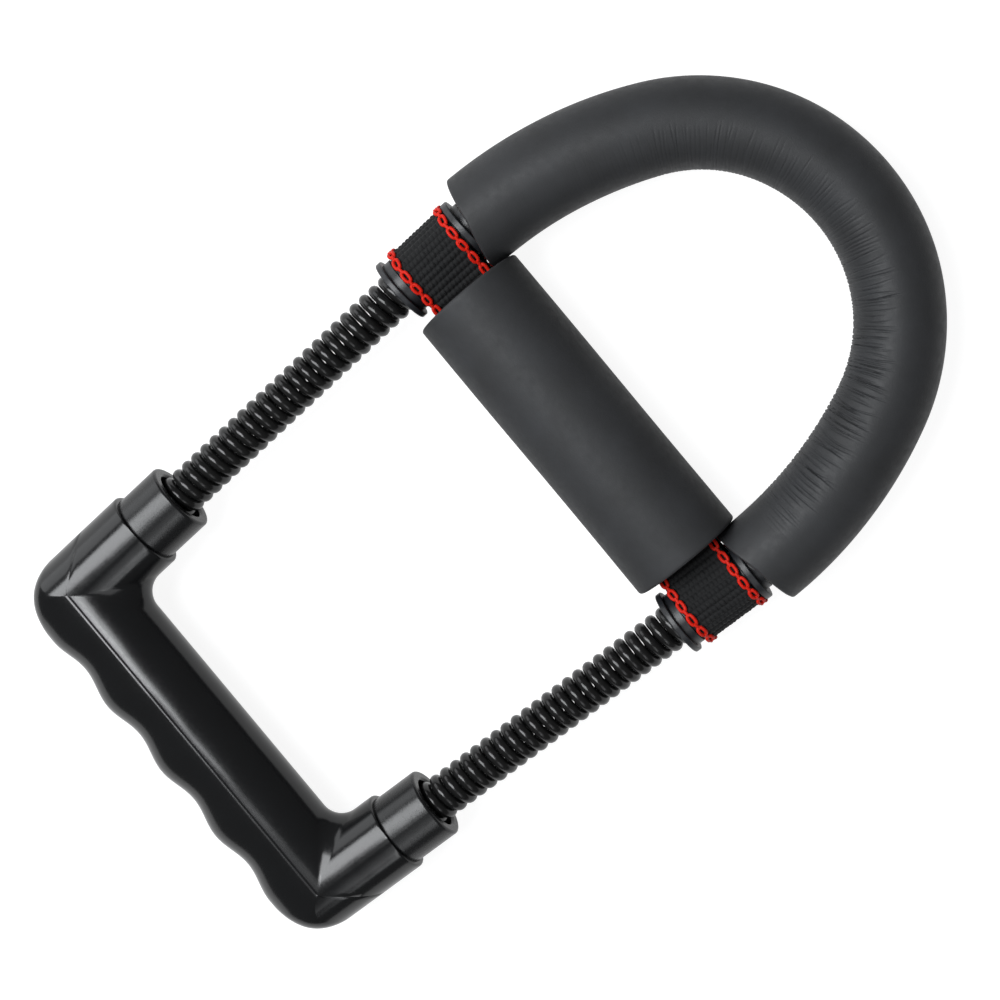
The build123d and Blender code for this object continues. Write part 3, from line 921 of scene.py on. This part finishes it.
# ================================================================ CAD nodes that stay
def dress_cad():
    looks = {
        "left_spool": (SPOOL, "spool_plastic"),
        "right_spool": (SPOOL, "spool_plastic"),
        "left_socket_sleeve": (SLEEVE, "sleeve_plastic"),
        "right_socket_sleeve": (SLEEVE, "sleeve_plastic"),
        "u_bar": (BAR, "bar_steel"),
        "pad_liner_tube": (LINER, "liner_plastic"),
    }
    for part in ("spring_plug", "anchor_washer", "anchor_screw"):
        for side in ("left", "right"):
            looks[f"{side}_{part}"] = (FASTENER, "fastener_steel")
    for node, (material, _) in looks.items():
        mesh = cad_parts[node].data
        mesh.materials.clear()
        mesh.materials.append(material)


# ================================================================ stage
def camera():
    """From above the arch, looking down at the middle; the object lies turned by its roll."""
    place = Vector((0.0, 108.75, 664.65)) * MM
    target = Vector((2.67, -7.22, MID_Z)) * MM
    roll = math.radians(39.75)
    back = (place - target).normalized()
    arch_way = Vector((0, 1, 0))
    arch_way = (arch_way - back * arch_way.dot(back)).normalized()
    left_way = back.cross(arch_way)
    right = arch_way * math.cos(roll) - left_way * math.sin(roll)
    upward = arch_way * math.sin(roll) + left_way * math.cos(roll)
    data = bpy.data.cameras.new("camera")
    data.sensor_width = 36
    data.lens = 72.75
    data.clip_start = 0.01
    eye = bpy.data.objects.new("camera", data)
    bpy.context.scene.collection.objects.link(eye)
    turn = Matrix((right, upward, back)).transposed()
    eye.matrix_world = Matrix.Translation(place) @ turn.to_4x4()
    bpy.context.scene.camera = eye


def area_light(name, place, target, size, power, turn=0.0):
    """Softbox facing target, turned about its own axis by a number of degrees."""
    data = bpy.data.lights.new(name, "AREA")
    data.shape = "RECTANGLE"
    data.color = (0.96, 0.98, 1.0)
    data.size, data.size_y = size
    data.energy = power
    light = bpy.data.objects.new(name, data)
    bpy.context.scene.collection.objects.link(light)
    place, target = Vector(place), Vector(target)
    light.location = place
    aim = (place - target).to_track_quat("Z", "Y")
    light.rotation_euler = (aim @ Quaternion((0, 0, 1), math.radians(turn))).to_euler()


def stage():
    half = 3.0
    mesh = bpy.data.meshes.new("floor")
    corners = [(-half, -half, 0), (half, -half, 0), (half, half, 0), (-half, half, 0)]
    mesh.from_pydata(corners, [], [(0, 1, 2, 3)])
    floor = bpy.data.objects.new("floor", mesh)
    bpy.context.scene.collection.objects.link(floor)
    floor.location.z = -0.0005
    n = Nodes("floor_material", Roughness=0.9, Specular_IOR_Level=0.1)
    color = n.mix(n.noise(3.0, 2.0), (0.29, 0.29, 0.29, 1), (0.31, 0.31, 0.31, 1))
    n.shader.inputs["Emission Color"].default_value = (1, 1, 1, 1)
    # bright to the eye, dimmer to the object, so that the floor doesn't light up its lower edges
    ray = n.add("ShaderNodeLightPath").outputs
    seen = n.maths("MULTIPLY", ray["Is Camera Ray"], 0.3)
    lighting = n.maths("MULTIPLY", ray["Is Diffuse Ray"], -0.2)
    n.put(n.maths("ADD", 0.6, n.maths("ADD", seen, lighting)), n.shader.inputs["Emission Strength"])
    mesh.materials.append(n.finish(color))

    world = bpy.data.worlds.new("world")
    world.use_nodes = True
    world.node_tree.nodes["Background"].inputs["Color"].default_value = (1, 1, 1, 1)
    world.node_tree.nodes["Background"].inputs["Strength"].default_value = 0.1
    bpy.context.scene.world = world
    bpy.context.scene.view_settings.view_transform = "Standard"

    middle = (0.0, 0.0, MID_Z * MM)
    grip = (0.0, GRIP_Y * MM, MID_Z * MM)
    area_light("main", (-0.65, -0.44, 1.22), (-0.65, -0.44, 0.0), (1.25, 0.68), 24, turn=40)
    area_light("left_wall", (-1.7, -0.5, 0.5), grip, (1.2, 1.0), 7)
    area_light("panel_left", (-0.12, -0.38, 1.25), (-0.12, -0.38, 0.0), (0.1, 0.26), 0.7)
    area_light("fill", (0.9, -0.3, 1.3), middle, (0.8, 0.8), 2.5)
    area_light("right_strip", (1.1, -0.55, 1.0), grip, (0.12, 0.6), 0.8)
    area_light("panel_right", (0.13, -0.4, 1.6), (0.13, -0.4, 0.0), (0.16, 0.5), 0.35)


arch_foam()
pad_foam()
web_strap()
chain_stitch("stitch_row_upper", strap_high[1] - STITCH_INSET, "strap_stitching_upper")
chain_stitch("stitch_row_lower", strap_low[1] + STITCH_INSET, "strap_stitching_lower")
springs()
hand_grip()
dress_cad()
camera()
stage()
